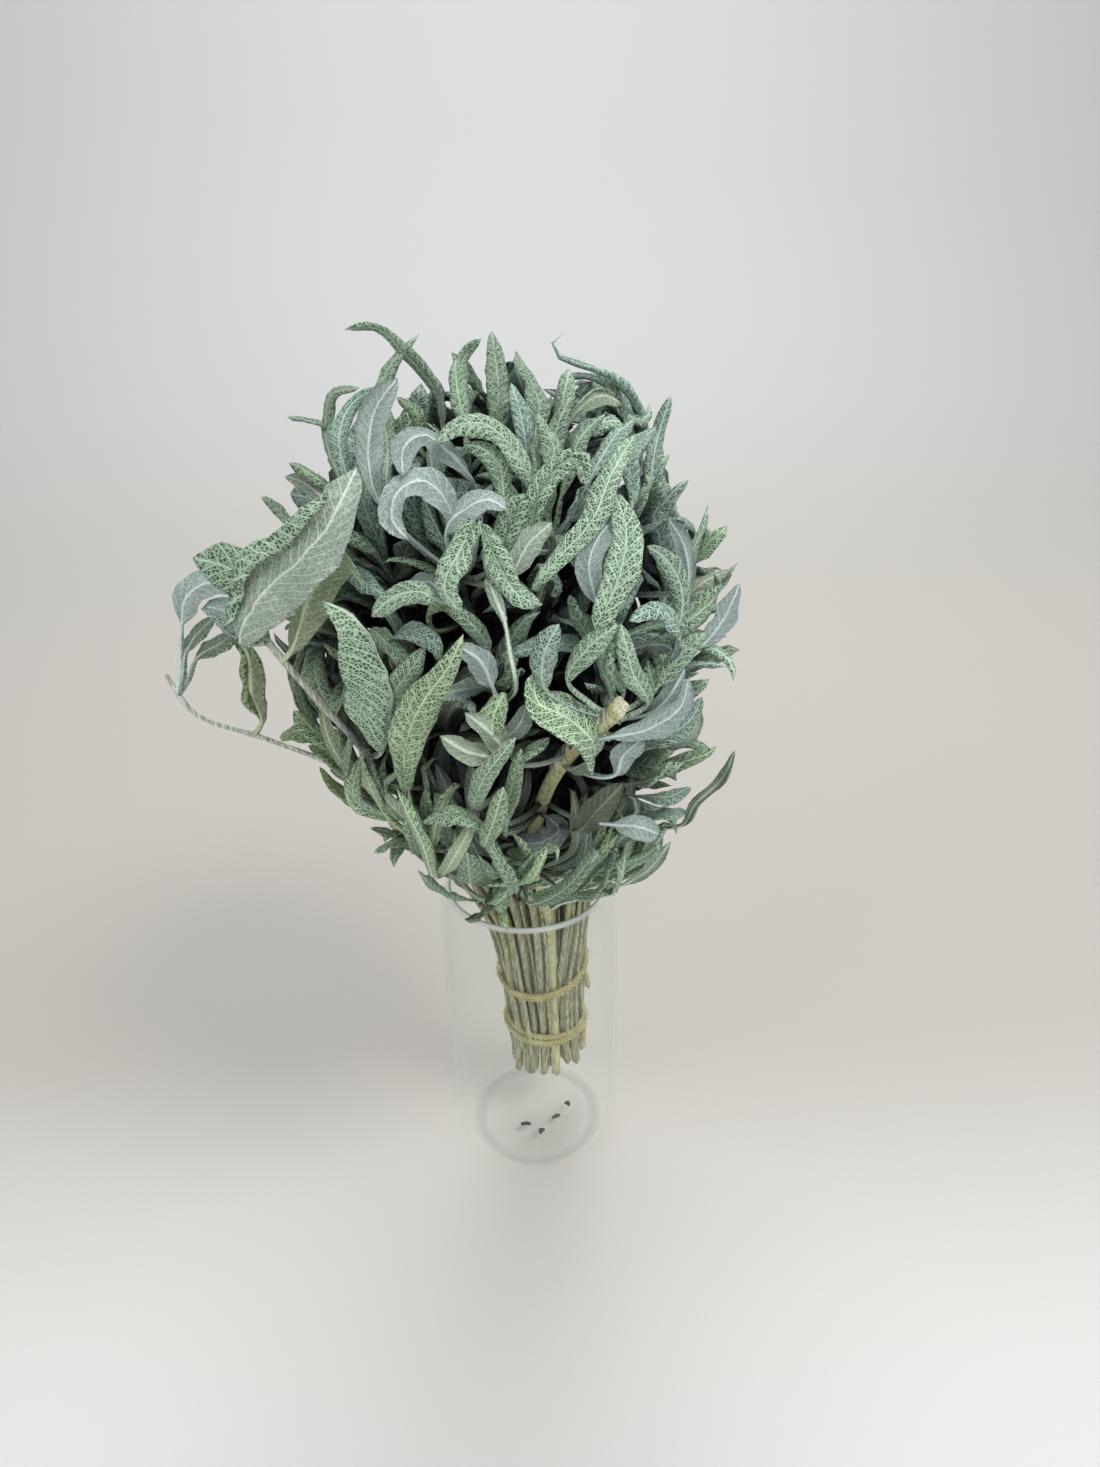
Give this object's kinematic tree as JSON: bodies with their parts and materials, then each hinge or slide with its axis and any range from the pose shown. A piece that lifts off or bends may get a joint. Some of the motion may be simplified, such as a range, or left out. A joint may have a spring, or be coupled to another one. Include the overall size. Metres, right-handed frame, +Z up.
{
  "type": "dried sage bunch in a glass",
  "caption": "String-tied bunch of dried sage sprigs fanning out above the mouth of a clear can-shaped drinking glass.",
  "frame": {"origin": "middle of the glass's foot, on the surface it stands on", "axes": "+Z up the glass, -Y the front that the bunch leans towards, +X to the right seen from the front"},
  "size_m": [0.1846, 0.1614, 0.3385],
  "materials": {
    "clear_glass": "clear, smooth, slightly green at the lip and foot",
    "dried_sage": "matt, downy, with a pale net of veins",
    "stalk": "matt, ribbed, dry, with a pale cut end",
    "string": "matt twisted plant fibre"
  },
  "bodies": {
    "root": {"cut_stalk": "stalk", "fallen_leaf_bit_1": "dried_sage", "fallen_leaf_bit_2": "dried_sage", "fallen_leaf_bit_3": "dried_sage", "fallen_leaf_bit_4": "dried_sage", "glass_vase": "clear_glass", "sprig_01": "dried_sage", "sprig_02": "dried_sage", "sprig_03": "dried_sage", "sprig_04": "dried_sage", "sprig_05": "dried_sage", "sprig_06": "dried_sage", "sprig_07": "dried_sage", "sprig_08": "dried_sage", "sprig_09": "dried_sage", "sprig_10": "dried_sage", "sprig_11": "dried_sage", "sprig_12": "dried_sage", "sprig_13": "dried_sage", "sprig_14": "dried_sage", "sprig_15": "dried_sage", "sprig_16": "dried_sage", "sprig_17": "dried_sage", "sprig_18": "dried_sage", "sprig_19": "dried_sage", "sprig_20": "dried_sage", "sprig_21": "dried_sage", "sprig_22": "dried_sage", "sprig_23": "dried_sage", "sprig_24": "dried_sage", "sprig_25": "dried_sage", "sprig_26": "dried_sage", "sprig_27": "dried_sage", "sprig_28": "dried_sage", "sprig_29": "dried_sage", "sprig_32": "dried_sage", "sprig_33": "dried_sage", "sprig_35": "dried_sage", "sprig_36": "dried_sage", "sprig_37": "dried_sage", "sprig_38": "dried_sage", "sprig_left_branch": "dried_sage", "sprig_left_droop": "dried_sage", "tie_string": "string"}
  },
  "joints": []
}
